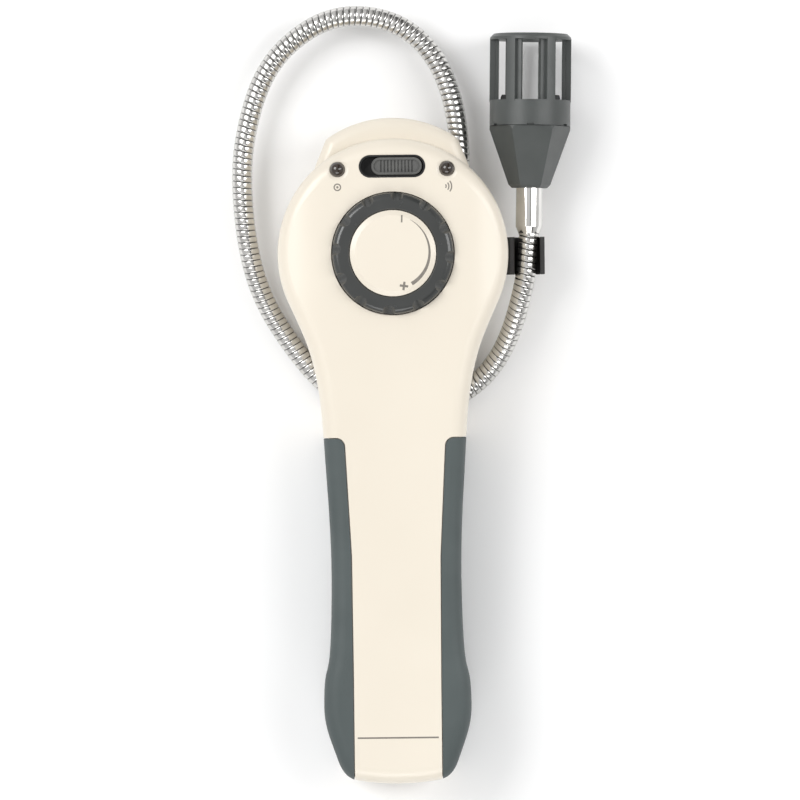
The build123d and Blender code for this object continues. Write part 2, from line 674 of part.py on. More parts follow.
def make_nut():
    """Hexagon nut that holds the gooseneck inside the head."""
    x, _, z = hose_route[0]
    hexagon = RegularPolygon(nut_across_flats / 2, 6, major_radius=False)
    nut = Pos(x, nut_y - seat_gap, z) * Rot(X=90) * extrude(hexagon, nut_thickness)
    return nut - rod(hose_radius + hose_hole_gap, 0, nut_y + 1, x, z)


def make_clip():
    """Open clip on the side of the head, held by a peg through the rear shell."""
    y_low, y_high = clip_centre_y - clip_length / 2, clip_centre_y + clip_length / 2
    outer_radius = clip_bore_radius + clip_wall
    clip = rod(outer_radius, y_low, y_high, clip_x, sensor_z)
    clip += block((clip_x - outer_radius, clip_x + outer_radius), (y_low, y_high), (sensor_z, clip_mouth_z))
    clip += block((head_radius - 3, clip_x), (y_low, y_high), (sensor_z - outer_radius, sensor_z + 2))
    clip -= rod(clip_bore_radius, y_low - 1, y_high + 1, clip_x, sensor_z)
    clip -= block((clip_x - clip_bore_radius, clip_x + clip_bore_radius), (y_low - 1, y_high + 1),
                  (sensor_z, clip_mouth_z + 5))
    clip -= post(head_radius + seat_gap, 0, 60)
    inner = head_radius - wall - 0.25
    peg = Rot(Y=90) * Cylinder(clip_peg_radius, head_radius + 2 - inner)
    clip += Pos((head_radius + 2 + inner) / 2, clip_centre_y, clip_peg_z) * peg
    head = Rot(Y=90) * Cylinder(clip_peg_head_radius, clip_peg_head)
    return clip + Pos(inner - clip_peg_head / 2, clip_centre_y, clip_peg_z) * head


def make_ferrule():
    """Plated sleeve over the gooseneck's end, with the spigot that the sensor base screws on."""
    top, spigot_top = base_y, base_y + ferrule_spigot
    sleeve = turned([(0, ferrule_y), (ferrule_radius - ferrule_nose, ferrule_y),
                     (ferrule_radius, ferrule_y + 2.5 * ferrule_nose), (ferrule_radius, top),
                     (ferrule_spigot_radius, top), (ferrule_spigot_radius, spigot_top), (0, spigot_top)])
    sleeve -= rod(hose_radius + clearance, ferrule_y - 1, ferrule_bore_end, 0, 0)
    return on_sensor_axis(sleeve - rod(1.4, ferrule_bore_end - 1, spigot_top + 1, 0, 0))


def facet_outline(corner, y):
    """Hexagon across the sensor's axis, with a flat towards the front and corners at the sides."""
    shape = RegularPolygon(corner, base_facets)
    return Pos(0, y, 0) * Rot(Y=base_turn) * Rot(X=90) * shape


def make_sensor_base():
    """Six-sided cone whose corners run out into a round rim, with the well for the sensor seat."""
    low = base_y + seat_gap
    shoulder = low + base_chamfer
    facets = loft([facet_outline(base_neck_corner, shoulder), facet_outline(base_rim_corner, base_rim_y)])
    facets += loft([facet_outline(base_neck_corner - base_chamfer, low),
                    facet_outline(base_neck_corner, shoulder)])
    base = facets & rod(guard_radius, low - 1, base_rim_y, 0, 0)
    base -= rod(seat_foot_radius + seat_gap, base_well_y, base_rim_y + 1, 0, 0)
    base -= rod(ferrule_spigot_radius + seat_gap, low - 1, low + ferrule_spigot + 0.2, 0, 0)
    return on_sensor_axis(base - rod(2.2, low, base_well_y + 1, 0, 0))


def make_guard():
    """Cage: a solid band, six posts on wider bars and a ring round the open end, in one piece."""
    low = base_rim_y + guard_joint_gap
    inner = guard_radius - guard_wall
    band = rod(guard_radius, low, guard_band_y, 0, 0) - rod(inner, low - 1, guard_band_y + 1, 0, 0)
    ring = turned([(guard_hole_radius, guard_window_end_y), (guard_radius, guard_window_end_y),
                   (guard_radius, guard_end_y - guard_corner), (guard_radius - guard_corner, guard_end_y),
                   (guard_hole_radius, guard_end_y)])
    half, reach = guard_post_width / 2, (guard_band_y - 0.5, guard_window_end_y + 0.5)
    post_bar = block((-half, half), reach, (inner + clearance + guard_bar / 2, 2 * guard_radius))
    post_bar &= rod(guard_radius + guard_post_proud, *reach, 0, 0)
    half = guard_bar_width / 2
    bar_inner = inner + clearance
    wide_bar = block((-half, half), reach, (0, 2 * guard_radius)) & rod(bar_inner + guard_bar, *reach, 0, 0)
    wide_bar -= rod(bar_inner, reach[0] - 1, reach[1] + 1, 0, 0)
    guard = band + ring + round_y(post_bar + wide_bar, guard_posts, start=180 / guard_posts)
    notch = block((-notch_width / 2, notch_width / 2), (low - 1, low + notch_depth), (guard_radius - 1, 30))
    return on_sensor_axis(guard - round_y(notch, guard_posts))


def make_sensor_seat():
    """Seat screwed in the base's well, with four lugs that show at the foot of the side windows."""
    seat = rod(seat_foot_radius, base_well_y + seat_gap, base_rim_y + 1, 0, 0)
    seat += rod(seat_radius, base_rim_y + seat_gap, seat_top_y, 0, 0)
    for angle in lug_angles:
        lug = block((-lug_width / 2, lug_width / 2), (seat_top_y - 0.5, lug_top_y),
                    (seat_radius - lug_depth, 2 * seat_radius))
        lug = chamfer(lug.edges().filter_by(Axis.Z).group_by(Axis.Y)[-1], 0.7)
        seat += Rot(Y=angle) * lug & rod(seat_radius, 0, 2 * lug_top_y, 0, 0)
    seat -= rod(element_radius + seat_gap, element_y, seat_top_y + 5, 0, 0)
    return on_sensor_axis(seat - rod(2.0, base_well_y - 1, seat_top_y, 0, 0))


def make_element():
    """Sensing element: a metal can with a raised rim round its gauze."""
    low = element_y + seat_gap
    return on_sensor_axis(turned([(0, low), (element_radius, low), (element_radius, element_top_y),
                                  (element_radius - 0.8, element_top_y),
                                  (element_radius - 0.8, element_top_y - 0.4), (0, element_top_y - 0.4)]))


def make_pieces():
    """Every piece, by the name of its node."""
    grip = make_grip()
    plates_y = bay_top_y - seat_gap - plate_thickness, bay_top_y - seat_gap
    low_plate_y = bay_end_y + seat_gap, bay_end_y + seat_gap + plate_thickness
    high, low = plates_y[0] - seat_gap, low_plate_y[1] + seat_gap
    first_left, first_right = high - cell_length, low + cell_length + seat_gap
    plate_z = (cell_z - 6, cell_z + 6)
    plate_x = (cell_x - plate_half_width, cell_x + plate_half_width)
    return {
        "front_case": make_front_case(),
        "rear_case": make_rear_case(),
        "battery_door": make_battery_door(),
        "right_grip": grip,
        "left_grip": mirror(grip, about=Plane.YZ),
        "dial_ring": make_dial_ring(),
        "dial_cap": make_dial_cap(),
        "dial_hub": make_dial_hub(),
        "dial_shaft": make_shaft(),
        "sensitivity_pot": make_pot(),
        "ready_lamp": make_lamp(-lamp_x),
        "alarm_lamp": make_lamp(lamp_x),
        "switch_bezel": make_bezel(),
        "switch_slider": make_slider(),
        "slide_switch": make_slide_switch(),
        "circuit_board": make_board(),
        "sounder": make_sounder(),
        "case_screws": make_screws(),
        "gooseneck": make_gooseneck(),
        "gooseneck_nut": make_nut(),
        "gooseneck_clip": make_clip(),
        "ferrule": make_ferrule(),
        "sensor_base": make_sensor_base(),
        "sensor_seat": make_sensor_seat(),
        "sensor_element": make_element(),
        "sensor_guard": make_guard(),
        "battery_cell_1": cell(-cell_x, first_left, True),
        "battery_cell_2": cell(-cell_x, first_left - cell_length - seat_gap, True),
        "battery_cell_3": cell(cell_x, first_right, False),
        "battery_cell_4": cell(cell_x, low, False),
        "positive_plate": block((-plate_x[1], -plate_x[0]), plates_y, plate_z),
        "negative_plate": block(plate_x, plates_y, plate_z),
        "joining_plate": block((-plate_x[1], plate_x[1]), low_plate_y, plate_z),
        "upper_spring": make_spring(cell_x, high - spring_length, high),
        "lower_spring": make_spring(-cell_x, low, low + spring_length),
    }


for name, piece in make_pieces().items():
    piece.label = name
    export_step(piece, f"parts/{name}.step")
    print(name, [round(v, 2) for v in piece.bounding_box().size], len(piece.solids()), round(piece.volume, 1))
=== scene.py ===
import bpy
import numpy as np
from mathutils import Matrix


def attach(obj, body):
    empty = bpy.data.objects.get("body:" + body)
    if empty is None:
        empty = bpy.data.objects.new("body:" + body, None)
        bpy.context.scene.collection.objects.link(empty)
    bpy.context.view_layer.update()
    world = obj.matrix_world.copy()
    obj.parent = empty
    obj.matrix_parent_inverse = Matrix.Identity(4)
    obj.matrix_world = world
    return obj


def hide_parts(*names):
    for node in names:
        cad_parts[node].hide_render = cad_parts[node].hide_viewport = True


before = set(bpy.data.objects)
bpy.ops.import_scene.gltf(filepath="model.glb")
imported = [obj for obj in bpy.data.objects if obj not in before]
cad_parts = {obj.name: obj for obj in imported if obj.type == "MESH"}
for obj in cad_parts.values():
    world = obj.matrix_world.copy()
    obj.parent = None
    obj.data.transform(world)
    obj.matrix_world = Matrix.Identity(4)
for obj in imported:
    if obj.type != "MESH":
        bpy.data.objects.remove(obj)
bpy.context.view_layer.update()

# Combustible gas detector lying on its back. Metres, in the part's own frame:
# +X right, +Y towards the head end, +Z out of the front face.

mm = 0.001
print("frame loaded:", len(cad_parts), "nodes")


# ---------- small helpers ----------

def newMesh(name, points, faces, smooth=True):
    mesh = bpy.data.meshes.new(name)
    mesh.from_pydata(points.reshape(-1, 3).tolist(), [], faces.tolist())
    mesh.validate()
    mesh.polygons.foreach_set("use_smooth", [smooth] * len(mesh.polygons))
    obj = bpy.data.objects.new(name, mesh)
    bpy.context.scene.collection.objects.link(obj)
    return obj


def gridFaces(rows, columns, wrapRows=False, wrapColumns=False):
    # four corners of each cell of a grid, closed round where it wraps
    r = np.arange(rows if wrapRows else rows - 1)
    c = np.arange(columns if wrapColumns else columns - 1)
    r, c = [a.ravel() for a in np.meshgrid(r, c, indexing="ij")]
    r2, c2 = (r + 1) % rows, (c + 1) % columns
    return np.stack([r * columns + c, r * columns + c2, r2 * columns + c2, r2 * columns + c], axis=1)


def clockwise(degreesFromTop, radius):
    # a place on the dial, counted clockwise from the head end
    a = np.radians(degreesFromTop)
    return np.stack([radius * np.sin(a), radius * np.cos(a)], axis=-1)


# ---------- materials ----------

def startMaterial(name):
    material = bpy.data.materials.new(name)
    material.use_nodes = True
    tree = material.node_tree
    shader = tree.nodes["Principled BSDF"]
    return material, tree, shader


def addNoise(tree, scale, detail=2.0, roughness=0.5, stretch=None):
    # noise in the object's own coordinates, in metres
    place = tree.nodes.new("ShaderNodeTexCoord")
    source = place.outputs["Object"]
    if stretch:
        mapping = tree.nodes.new("ShaderNodeMapping")
        mapping.inputs["Scale"].default_value = stretch
        tree.links.new(source, mapping.inputs["Vector"])
        source = mapping.outputs["Vector"]
    noise = tree.nodes.new("ShaderNodeTexNoise")
    noise.inputs["Scale"].default_value = scale
    noise.inputs["Detail"].default_value = detail
    noise.inputs["Roughness"].default_value = roughness
    tree.links.new(source, noise.inputs["Vector"])
    return noise.outputs["Fac"]


def addRamp(tree, source, stops):
    ramp = tree.nodes.new("ShaderNodeValToRGB")
    elements = ramp.color_ramp.elements
    while len(elements) < len(stops):
        elements.new(0.5)
    for element, (place, colour) in zip(elements, stops):
        element.position = place
        element.color = (*colour, 1.0)
    tree.links.new(source, ramp.inputs["Fac"])
    return ramp.outputs["Color"]


def addRange(tree, source, low, high, start=0.3, end=0.7):
    node = tree.nodes.new("ShaderNodeMapRange")
    node.inputs["From Min"].default_value = start
    node.inputs["From Max"].default_value = end
    node.inputs["To Min"].default_value = low
    node.inputs["To Max"].default_value = high
    tree.links.new(source, node.inputs["Value"])
    return node.outputs["Result"]


def addBump(tree, shader, source, height, strength=1.0, after=None):
    bump = tree.nodes.new("ShaderNodeBump")
    bump.inputs["Strength"].default_value = strength
    bump.inputs["Distance"].default_value = height
    tree.links.new(source, bump.inputs["Height"])
    if after:
        tree.links.new(after, bump.inputs["Normal"])
    tree.links.new(bump.outputs["Normal"], shader.inputs["Normal"])
    return bump.outputs["Normal"]


def mouldedPlastic(name, look):
    # moulded plastic: two close tones in broad clouds, a fine grain and uneven gloss
    material, tree, shader = startMaterial(name)
    cloud = addNoise(tree, look["cloudScale"], 3.0)
    tones = addRamp(tree, cloud, [(0.3, look["darkTone"]), (0.7, look["lightTone"])])
    tree.links.new(tones, shader.inputs["Base Color"])
    gloss = addNoise(tree, look["glossScale"], 4.0)
    low, high = look["roughness"]
    tree.links.new(addRange(tree, gloss, low, high), shader.inputs["Roughness"])
    wave = addBump(tree, shader, addNoise(tree, look["waveScale"], 1.0), look["waveHeight"])
    addBump(tree, shader, addNoise(tree, look["grainScale"], 2.0), look["grainHeight"], after=wave)
    shader.inputs["Specular IOR Level"].default_value = look["specular"]
    if look.get("coat"):
        shader.inputs["Coat Weight"].default_value = look["coat"]
        shader.inputs["Coat Roughness"].default_value = look["coatRoughness"]
    if look.get("subsurface"):
        shader.inputs["Subsurface Weight"].default_value = look["subsurface"]
        shader.inputs["Subsurface Radius"].default_value = (0.004, 0.003, 0.002)
    return material


ivoryLook = {
    "darkTone": (0.715, 0.655, 0.555), "lightTone": (0.745, 0.685, 0.585), "cloudScale": 18.0,
    "roughness": (0.30, 0.36), "glossScale": 60.0,
    "waveScale": 35.0, "waveHeight": 0.00004, "grainScale": 2600.0, "grainHeight": 0.000006,
    "specular": 0.5, "coat": 0.25, "coatRoughness": 0.22,
}
rubberLook = {
    "darkTone": (0.060, 0.075, 0.075), "lightTone": (0.075, 0.092, 0.092), "cloudScale": 40.0,
    "roughness": (0.52, 0.62), "glossScale": 120.0,
    "waveScale": 60.0, "waveHeight": 0.00003, "grainScale": 1800.0, "grainHeight": 0.00002,
    "specular": 0.45,
}
dialLook = {
    "darkTone": (0.030, 0.032, 0.031), "lightTone": (0.038, 0.040, 0.039), "cloudScale": 80.0,
    "roughness": (0.20, 0.28), "glossScale": 200.0,
    "waveScale": 90.0, "waveHeight": 0.00002, "grainScale": 3000.0, "grainHeight": 0.000004,
    "specular": 0.5, "coat": 0.3, "coatRoughness": 0.12,
}
sliderLook = {
    "darkTone": (0.085, 0.085, 0.082), "lightTone": (0.105, 0.105, 0.100), "cloudScale": 200.0,
    "roughness": (0.34, 0.42), "glossScale": 300.0,
    "waveScale": 120.0, "waveHeight": 0.00001, "grainScale": 3500.0, "grainHeight": 0.000005,
    "specular": 0.5,
}
blackLook = {
    "darkTone": (0.006, 0.006, 0.006), "lightTone": (0.010, 0.010, 0.010), "cloudScale": 120.0,
    "roughness": (0.40, 0.50), "glossScale": 250.0,
    "waveScale": 120.0, "waveHeight": 0.00001, "grainScale": 3000.0, "grainHeight": 0.000005,
    "specular": 0.4,
}
sensorLook = {
    "darkTone": (0.052, 0.058, 0.056), "lightTone": (0.064, 0.070, 0.068), "cloudScale": 90.0,
    "roughness": (0.36, 0.44), "glossScale": 220.0,
    "waveScale": 100.0, "waveHeight": 0.00002, "grainScale": 2600.0, "grainHeight": 0.000008,
    "specular": 0.5,
}
clipLook = {
    "darkTone": (0.022, 0.021, 0.021), "lightTone": (0.030, 0.029, 0.028), "cloudScale": 120.0,
    "roughness": (0.32, 0.40), "glossScale": 250.0,
    "waveScale": 150.0, "waveHeight": 0.00001, "grainScale": 3000.0, "grainHeight": 0.000005,
    "specular": 0.5,
}
boardLook = {
    "darkTone": (0.010, 0.075, 0.030), "lightTone": (0.014, 0.100, 0.042), "cloudScale": 300.0,
    "roughness": (0.30, 0.40), "glossScale": 400.0,
    "waveScale": 200.0, "waveHeight": 0.00001, "grainScale": 3000.0, "grainHeight": 0.000004,
    "specular": 0.5,
}
sleeveLook = {
    "darkTone": (0.030, 0.045, 0.070), "lightTone": (0.040, 0.058, 0.088), "cloudScale": 60.0,
    "roughness": (0.22, 0.30), "glossScale": 150.0,
    "waveScale": 80.0, "waveHeight": 0.00002, "grainScale": 2500.0, "grainHeight": 0.000003,
    "specular": 0.5,
}
printLook = {
    "darkTone": (0.170, 0.155, 0.135), "lightTone": (0.215, 0.195, 0.170), "cloudScale": 900.0,
    "roughness": (0.45, 0.55), "glossScale": 500.0,
    "waveScale": 300.0, "waveHeight": 0.000002, "grainScale": 4000.0, "grainHeight": 0.000002,
    "specular": 0.4,
}


def metalFinish(name, look):
    # plated or drawn metal: fine streaks along one way, uneven gloss and faint tarnish
    material, tree, shader = startMaterial(name)
    cloud = addNoise(tree, look["cloudScale"], 3.0)
    tones = addRamp(tree, cloud, [(0.3, look["darkTone"]), (0.7, look["lightTone"])])
    tree.links.new(tones, shader.inputs["Base Color"])
    shader.inputs["Metallic"].default_value = 1.0
    streak = addNoise(tree, look["streakScale"], 3.0, stretch=look["streakStretch"])
    low, high = look["roughness"]
    tree.links.new(addRange(tree, streak, low, high), shader.inputs["Roughness"])
    addBump(tree, shader, streak, look["streakHeight"])
    return material


hoseLook = {
    "darkTone": (0.60, 0.59, 0.57), "lightTone": (0.74, 0.73, 0.71), "cloudScale": 250.0,
    "streakScale": 900.0, "streakStretch": (1.0, 1.0, 1.0), "streakHeight": 0.000006,
    "roughness": (0.16, 0.26),
    # near-black tone painted into the seams as shade, not a colour the metal has
    "seamShadeTone": (0.05, 0.048, 0.045),
}
ferruleLook = {
    "darkTone": (0.70, 0.69, 0.67), "lightTone": (0.78, 0.77, 0.75), "cloudScale": 120.0,
    "streakScale": 700.0, "streakStretch": (1.0, 0.08, 1.0), "streakHeight": 0.000001,
    "roughness": (0.06, 0.11),
}
steelLook = {
    "darkTone": (0.42, 0.42, 0.42), "lightTone": (0.55, 0.55, 0.54), "cloudScale": 200.0,
    "streakScale": 900.0, "streakStretch": (0.2, 1.0, 1.0), "streakHeight": 0.000003,
    "roughness": (0.28, 0.40),
}


def hoseFinish():
    # bright bands, with painted shade darkening the metal down in the seams, set by a shade weight stored on
    # the mesh
    material = metalFinish("hoseChrome", hoseLook)
    tree = material.node_tree
    shader = tree.nodes["Principled BSDF"]
    tones = shader.inputs["Base Color"].links[0].from_socket
    seamShade = tree.nodes.new("ShaderNodeAttribute")
    seamShade.attribute_name = "seamShade"
    mix = tree.nodes.new("ShaderNodeMix")
    mix.data_type = "RGBA"
    tree.links.new(seamShade.outputs["Fac"], mix.inputs["Factor"])
    tree.links.new(tones, mix.inputs["A"])
    mix.inputs["B"].default_value = (*hoseLook["seamShadeTone"], 1.0)
    tree.links.new(mix.outputs["Result"], shader.inputs["Base Color"])
    return material


def lampFinish():
    # smoked lens: near black with a warm tint, deep gloss
    material, tree, shader = startMaterial("smokedLens")
    cloud = addNoise(tree, 400.0, 2.0)
    tones = addRamp(tree, cloud, [(0.3, (0.020, 0.013, 0.009)), (0.7, (0.034, 0.022, 0.015))])
    tree.links.new(tones, shader.inputs["Base Color"])
    tree.links.new(addRange(tree, cloud, 0.05, 0.09), shader.inputs["Roughness"])
    shader.inputs["Coat Weight"].default_value = 0.6
    shader.inputs["Coat Roughness"].default_value = 0.03
    return material


finishes = {
    "ivory": mouldedPlastic("ivoryPlastic", ivoryLook),
    "rubber": mouldedPlastic("gripRubber", rubberLook),
    "dial": mouldedPlastic("dialPlastic", dialLook),
    "slider": mouldedPlastic("sliderPlastic", sliderLook),
    "black": mouldedPlastic("blackPlastic", blackLook),
    "sensor": mouldedPlastic("sensorPlastic", sensorLook),
    "clip": mouldedPlastic("clipPlastic", clipLook),
    "board": mouldedPlastic("boardLaminate", boardLook),
    "sleeve": mouldedPlastic("cellSleeve", sleeveLook),
    "print": mouldedPlastic("printInk", printLook),
    "hose": hoseFinish(),
    "ferrule": metalFinish("ferruleChrome", ferruleLook),
    "steel": metalFinish("platedSteel", steelLook),
    "lamp": lampFinish(),
}

nodeFinish = {
    "ivory": ["front_case", "rear_case", "battery_door", "dial_cap"],
    "rubber": ["right_grip", "left_grip"],
    "dial": ["dial_ring"],
    "slider": ["switch_slider"],
    "black": ["switch_bezel", "dial_hub", "sounder", "sensor_seat"],
    "sensor": ["sensor_base", "sensor_guard"],
    "clip": ["gooseneck_clip"],
    "board": ["circuit_board"],
    "sleeve": ["battery_cell_1", "battery_cell_2", "battery_cell_3", "battery_cell_4"],
    "hose": ["gooseneck"],
    "ferrule": ["ferrule"],
    "lamp": ["ready_lamp", "alarm_lamp"],
    "steel": ["dial_shaft", "sensitivity_pot", "slide_switch", "case_screws", "gooseneck_nut",
              "sensor_element", "positive_plate", "negative_plate", "joining_plate",
              "upper_spring", "lower_spring"],
}

for finish, names in nodeFinish.items():
    for name in names:
        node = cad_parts[name]
        node.data.materials.clear()
        node.data.materials.append(finishes[finish])
print("materials on", sum(len(names) for names in nodeFinish.values()), "nodes")


# ---------- gooseneck ----------

# the route's points are the ones in the part's source, in millimetres
hose = {
    "route": [
        (22.5, 17.0, 11.5), (22.7, 30.0, 11.5), (21.6, 45.0, 11.4), (18.2, 58.4, 11.2),
        (11.2, 70.2, 11.0), (1.5, 77.3, 11.0), (-9.5, 80.0, 11.0), (-20.6, 78.8, 11.0),
        (-31.0, 73.2, 11.0), (-38.9, 65.5, 11.0), (-44.3, 56.0, 11.0), (-47.6, 45.7, 11.0),
        (-49.7, 34.5, 11.0), (-50.1, 22.0, 11.0), (-49.1, 9.0, 10.6), (-46.6, -4.5, 9.2),
        (-41.9, -17.0, 7.2), (-35.3, -27.9, 5.7), (-18.0, -46.6, 5.0), (-0.6, -52.8, 5.0),
        (17.4, -49.0, 5.0), (29.8, -40.8, 5.6), (37.9, -28.7, 9.9), (42.3, -15.4, 16.0),
        (44.1, -7.0, 17.8), (44.75, 0.0, 18.0), (45.35, 6.5, 18.0), (45.49, 13.0, 18.0),
    ],
    "radius": 3.4, "pitch": 2.02, "seamDepth": 0.34, "overlap": 0.10,
    "aroundSteps": 36,
}


def hoseLine(points):
    # natural cubic spline through the points over their chord length; returns a function of length
    points = np.array(points)
    step = np.linalg.norm(np.diff(points, axis=0), axis=1)
    knots = np.concatenate([[0.0], np.cumsum(step)])
    count = len(points)
    matrix, right = np.eye(count), np.zeros((count, 3))
    for i in range(1, count - 1):
        matrix[i, i - 1:i + 2] = step[i - 1], 2 * (step[i - 1] + step[i]), step[i]
        right[i] = 6 * ((points[i + 1] - points[i]) / step[i] - (points[i] - points[i - 1]) / step[i - 1])
    bend = np.linalg.solve(matrix, right)
    place = np.linspace(0, knots[-1], 6000)
    i = np.clip(np.searchsorted(knots, place) - 1, 0, count - 2)
    a, b, h = (knots[i + 1] - place)[:, None], (place - knots[i])[:, None], step[i][:, None]
    line = ((bend[i] * a**3 + bend[i + 1] * b**3) / (6 * h)
            + (points[i] / h - bend[i] * h / 6) * a + (points[i + 1] / h - bend[i + 1] * h / 6) * b)
    length = np.concatenate([[0.0], np.cumsum(np.linalg.norm(np.diff(line, axis=0), axis=1))])
    direction = np.gradient(line, length, axis=0)
    direction /= np.linalg.norm(direction, axis=1)[:, None]

    def at(s):
        where = np.stack([np.interp(s, length, line[:, k]) for k in range(3)], axis=-1)
        along = np.stack([np.interp(s, length, direction[:, k]) for k in range(3)], axis=-1)
        return where, along / np.linalg.norm(along, axis=-1, keepdims=True)
    return at, length[-1]


def makeGooseneck():
    # one metal strip wound in a helix: p runs across the strip from 0 to 1 and t along its turns.
    # A point lies at the route's length pitch * (t + p), at the angle 2 pi t round the route,
    # and its distance from the route is the radius less a rounded groove at the strip's edges.
    at, total = hoseLine(hose["route"])
    pitch, around = hose["pitch"], hose["aroundSteps"]
    turns = total / pitch + 1
    t = np.arange(-around, int(turns * around) + 1) / around
    across = np.array([0.0, 0.05, 0.13, 0.30, 0.52, 0.74, 0.90, 0.965, 1.0])
    dip = np.array([1.0, 0.45, 0.12, 0.0, 0.02, 0.06, 0.20, 0.62, 1.0])
    # painted shade weight across the strip: 1 at its edges down in the seams, 0 on the band's crown
    seamShade = np.array([1.0, 0.7, 0.1, 0.0, 0.0, 0.0, 0.1, 0.7, 1.0])
    tt, pp = np.meshgrid(t, across, indexing="ij")
    s = np.clip(pitch * (tt + pp), 0, total)
    where, along = at(s)
    up = np.array([0.0, 0.0, 1.0])
    side = np.cross(along, up)
    side /= np.linalg.norm(side, axis=-1, keepdims=True)
    over = np.cross(side, along)
    ends = (s <= 0) | (s >= total)
    radius = hose["radius"] - hose["seamDepth"] * np.where(ends, 1.0, dip[None, :])
    angle = 2 * np.pi * tt
    points = where + radius[..., None] * (np.cos(angle)[..., None] * side + np.sin(angle)[..., None] * over)
    obj = newMesh("goosenecks", points * mm, gridFaces(len(t), len(across)))
    mesh = obj.data
    shade = mesh.attributes.new("seamShade", "FLOAT", "POINT")
    shade.data.foreach_set("value", np.broadcast_to(seamShade, tt.shape).ravel().astype(np.float32))
    return obj


def closeMesh(obj, distance):
    # joins the strip's edges to their neighbours, closes the ends and points the faces outwards
    import bmesh
    work = bmesh.new()
    work.from_mesh(obj.data)
    bmesh.ops.remove_doubles(work, verts=work.verts, dist=distance)
    bmesh.ops.dissolve_degenerate(work, edges=work.edges, dist=distance)
    rims = [edge for edge in work.edges if edge.is_boundary]
    bmesh.ops.holes_fill(work, edges=rims, sides=0)
    bmesh.ops.recalc_face_normals(work, faces=work.faces)
    work.to_mesh(obj.data)
    work.free()
    return obj


gooseneck = closeMesh(makeGooseneck(), 0.000004)
gooseneck.name = "gooseneck_bands"
gooseneck.data.materials.append(finishes["hose"])
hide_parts("gooseneck")
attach(gooseneck, "housing")
print("gooseneck:", len(gooseneck.data.polygons), "faces")


# ---------- printed marks ----------

dialMarks = {
    "height": 45.0, "thickness": 0.03,
    "minusAngle": 15.0, "minusRadius": 11.7, "minusLength": 2.4, "minusWidth": 0.5,
    "plusAngle": 162.0, "plusRadius": 11.4, "plusSpan": 2.8, "plusWidth": 0.75, "plusTurn": 8.0,
    "wedgeStart": 28.0, "wedgeEnd": 149.0, "wedgeOuter": 12.45, "wedgeWidth": 1.25,
}
lampMarks = {"x": 18.1, "y": 22.0, "height": 41.0, "thickness": 0.03, "line": 0.42}
endLine = {"y": -160.0, "halfLength": 13.4, "width": 0.55, "height": 38.0, "thickness": 0.03}


def flatPatch(name, rim, height, thickness):
    # a closed thin plate: the same outline at two heights, joined round its rim
    count = len(rim)
    low = np.column_stack([rim, np.full(count, height - thickness)])
    high = np.column_stack([rim, np.full(count, height + 0.006)])
    points = np.concatenate([low, high]) * mm
    i = np.arange(count)
    j = (i + 1) % count
    sides = np.stack([i, j, j + count, i + count], axis=1).tolist()
    faces = sides + [i[::-1].tolist(), (i + count).tolist()]
    mesh = bpy.data.meshes.new(name)
    mesh.from_pydata(points.tolist(), [], faces)
    obj = bpy.data.objects.new(name, mesh)
    bpy.context.scene.collection.objects.link(obj)
    obj.data.materials.append(finishes["print"])
    return obj


def bar(centre, length, width, turn):
    # four corners of a bar whose length lies at an angle clockwise from the head end
    a = np.radians(turn)
    along, across = np.array([np.sin(a), np.cos(a)]), np.array([np.cos(a), -np.sin(a)])
    l, w = length / 2, width / 2
    return np.array([centre + l * along + w * across, centre - l * along + w * across,
                     centre - l * along - w * across, centre + l * along - w * across])


def arcBand(centre, inner, outer, start, end, steps=48, taper=False):
    # band between two radii, whose inner edge starts at the outer one where it tapers
    a = np.linspace(start, end, steps)
    grow = np.linspace(0.04, 1.0, steps) ** 0.8 if taper else np.ones(steps)
    inside = outer - (outer - inner) * grow
    return np.concatenate([centre + clockwise(a, outer), centre + clockwise(a[::-1], inside[::-1])])


def outwards(obj):
    import bmesh
    work = bmesh.new()
    work.from_mesh(obj.data)
    bmesh.ops.recalc_face_normals(work, faces=work.faces)
    work.to_mesh(obj.data)
    work.free()
    return obj


def makeDialMarks():
    m = dialMarks
    centre = np.zeros(2)
    arm = clockwise(m["plusAngle"], m["plusRadius"])
    outlines = {
        "dial_minus": bar(clockwise(m["minusAngle"], m["minusRadius"]), m["minusLength"], m["minusWidth"], 2.0),
        "dial_plus_a": bar(arm, m["plusSpan"], m["plusWidth"], m["plusTurn"]),
        "dial_plus_b": bar(arm, m["plusSpan"], m["plusWidth"], m["plusTurn"] + 90.0),
        "dial_wedge": arcBand(centre, m["wedgeOuter"] - m["wedgeWidth"], m["wedgeOuter"],
                              m["wedgeStart"], m["wedgeEnd"], taper=True),
    }
    for lift, (name, rim) in enumerate(outlines.items()):
        piece = outwards(flatPatch(name, rim, m["height"] + 0.001 * lift, m["thickness"]))
        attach(piece, "dial")


def makeCaseMarks():
    # plain signs in place of words: a ring and a dot by one lamp, sound waves by the other, and a line
    m = lampMarks
    line = m["line"]
    left, right = np.array([-m["x"], m["y"]]), np.array([m["x"], m["y"]])
    outlines = {
        "ready_ring_a": arcBand(left, 0.85, 0.85 + line, 0.0, 180.0, 24),
        "ready_ring_b": arcBand(left, 0.85, 0.85 + line, 180.0, 360.0, 24),
        "ready_dot": arcBand(left, 0.0, 0.4, 0.0, 360.0, 24)[:24],
    }
    for i, radius in enumerate((0.7, 1.6, 2.5)):
        outlines[f"alarm_wave_{i}"] = arcBand(right + [-1.2, 0.0], radius, radius + line, 50.0, 130.0, 16)
    for name, rim in outlines.items():
        piece = outwards(flatPatch(name, rim, m["height"], m["thickness"]))
        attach(piece, "housing")
    e = endLine
    rim = bar(np.array([0.0, e["y"]]), 2 * e["halfLength"], e["width"], 90.0)
    piece = outwards(flatPatch("end_line", rim, e["height"], e["thickness"]))
    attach(piece, "housing")


makeDialMarks()
makeCaseMarks()
print("marks drawn")


# ---------- floor, light and camera ----------

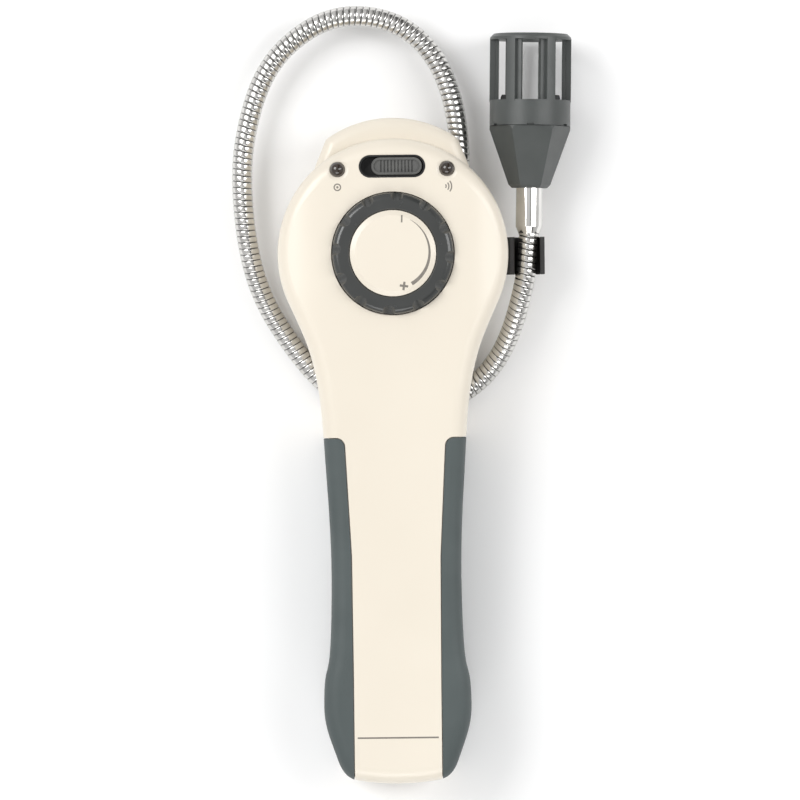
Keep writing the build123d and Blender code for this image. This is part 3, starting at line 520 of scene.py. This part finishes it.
stageLook = {"floorSize": 6.0, "floorTone": (0.93, 0.93, 0.93)}
view = {"centre": (1.8, -48.4), "across": 264.0, "height": 2400.0, "scaleHeight": 41.0, "roll": -0.63}


def makeFloor():
    half = stageLook["floorSize"] / 2
    points = np.array([(-half, -half, 0), (half, -half, 0), (half, half, 0), (-half, half, 0)])
    floor = newMesh("floor", points, np.array([[0, 1, 2, 3]]), smooth=False)
    material, tree, shader = startMaterial("floorPaper")
    shader.inputs["Base Color"].default_value = (*stageLook["floorTone"], 1.0)
    shader.inputs["Roughness"].default_value = 0.9
    floor.data.materials.append(material)


def makeLight(name, place, aim, size, power, tone=(1.0, 1.0, 1.0)):
    data = bpy.data.lights.new(name, "AREA")
    data.shape = "RECTANGLE"
    data.size, data.size_y = size
    data.energy = power
    data.color = tone
    obj = bpy.data.objects.new(name, data)
    bpy.context.scene.collection.objects.link(obj)
    obj.location = place
    direction = np.array(aim) - np.array(place)
    import mathutils
    obj.rotation_euler = mathutils.Vector(direction.tolist()).to_track_quat("-Z", "Y").to_euler()


def makeWorld():
    # soft studio surround: light from all sides, a darker band near the camera's side
    world = bpy.data.worlds.new("studio")
    bpy.context.scene.world = world
    world.use_nodes = True
    tree = world.node_tree
    background = tree.nodes["Background"]
    place = tree.nodes.new("ShaderNodeTexCoord")
    split = tree.nodes.new("ShaderNodeSeparateXYZ")
    tree.links.new(place.outputs["Generated"], split.inputs["Vector"])
    ramp = tree.nodes.new("ShaderNodeValToRGB")
    elements = ramp.color_ramp.elements
    stops = [(0.0, 0.85), (0.50, 0.95), (0.56, 0.75), (0.62, 0.12), (0.72, 0.10), (0.78, 0.70), (1.0, 0.95)]
    while len(elements) < len(stops):
        elements.new(0.5)
    for element, (where, value) in zip(elements, stops):
        element.position = where
        element.color = (value, value, value, 1.0)
    half = tree.nodes.new("ShaderNodeMapRange")
    half.inputs["From Min"].default_value = -1.0
    half.inputs["From Max"].default_value = 1.0
    tree.links.new(split.outputs["X"], half.inputs["Value"])
    tree.links.new(half.outputs["Result"], ramp.inputs["Fac"])
    tree.links.new(ramp.outputs["Color"], background.inputs["Color"])
    background.inputs["Strength"].default_value = 0.75


def makeCamera():
    data = bpy.data.cameras.new("camera")
    distance = (view["height"] - view["scaleHeight"]) * mm
    data.sensor_width = 36.0
    data.lens = 36.0 * distance / (view["across"] * mm)
    data.clip_start, data.clip_end = 0.05, 20.0
    camera = bpy.data.objects.new("camera", data)
    bpy.context.scene.collection.objects.link(camera)
    camera.location = (view["centre"][0] * mm, view["centre"][1] * mm, view["height"] * mm)
    camera.rotation_euler = (0.0, 0.0, np.radians(view["roll"]))
    bpy.context.scene.camera = camera


makeFloor()
makeLight("keyLight", (-0.9, 0.5, 1.3), (0, -0.03, 0), (0.9, 0.9), 14.0)
makeLight("fillLight", (0.95, 0.2, 1.1), (0, -0.03, 0), (0.5, 1.2), 8.0)
makeLight("lowLight", (0.0, -1.2, 0.9), (0, -0.05, 0), (1.2, 0.6), 6.0)
makeWorld()
makeCamera()
scene = bpy.context.scene
scene.view_settings.view_transform = "Standard"
scene.view_settings.look = "None"
print("stage ready")
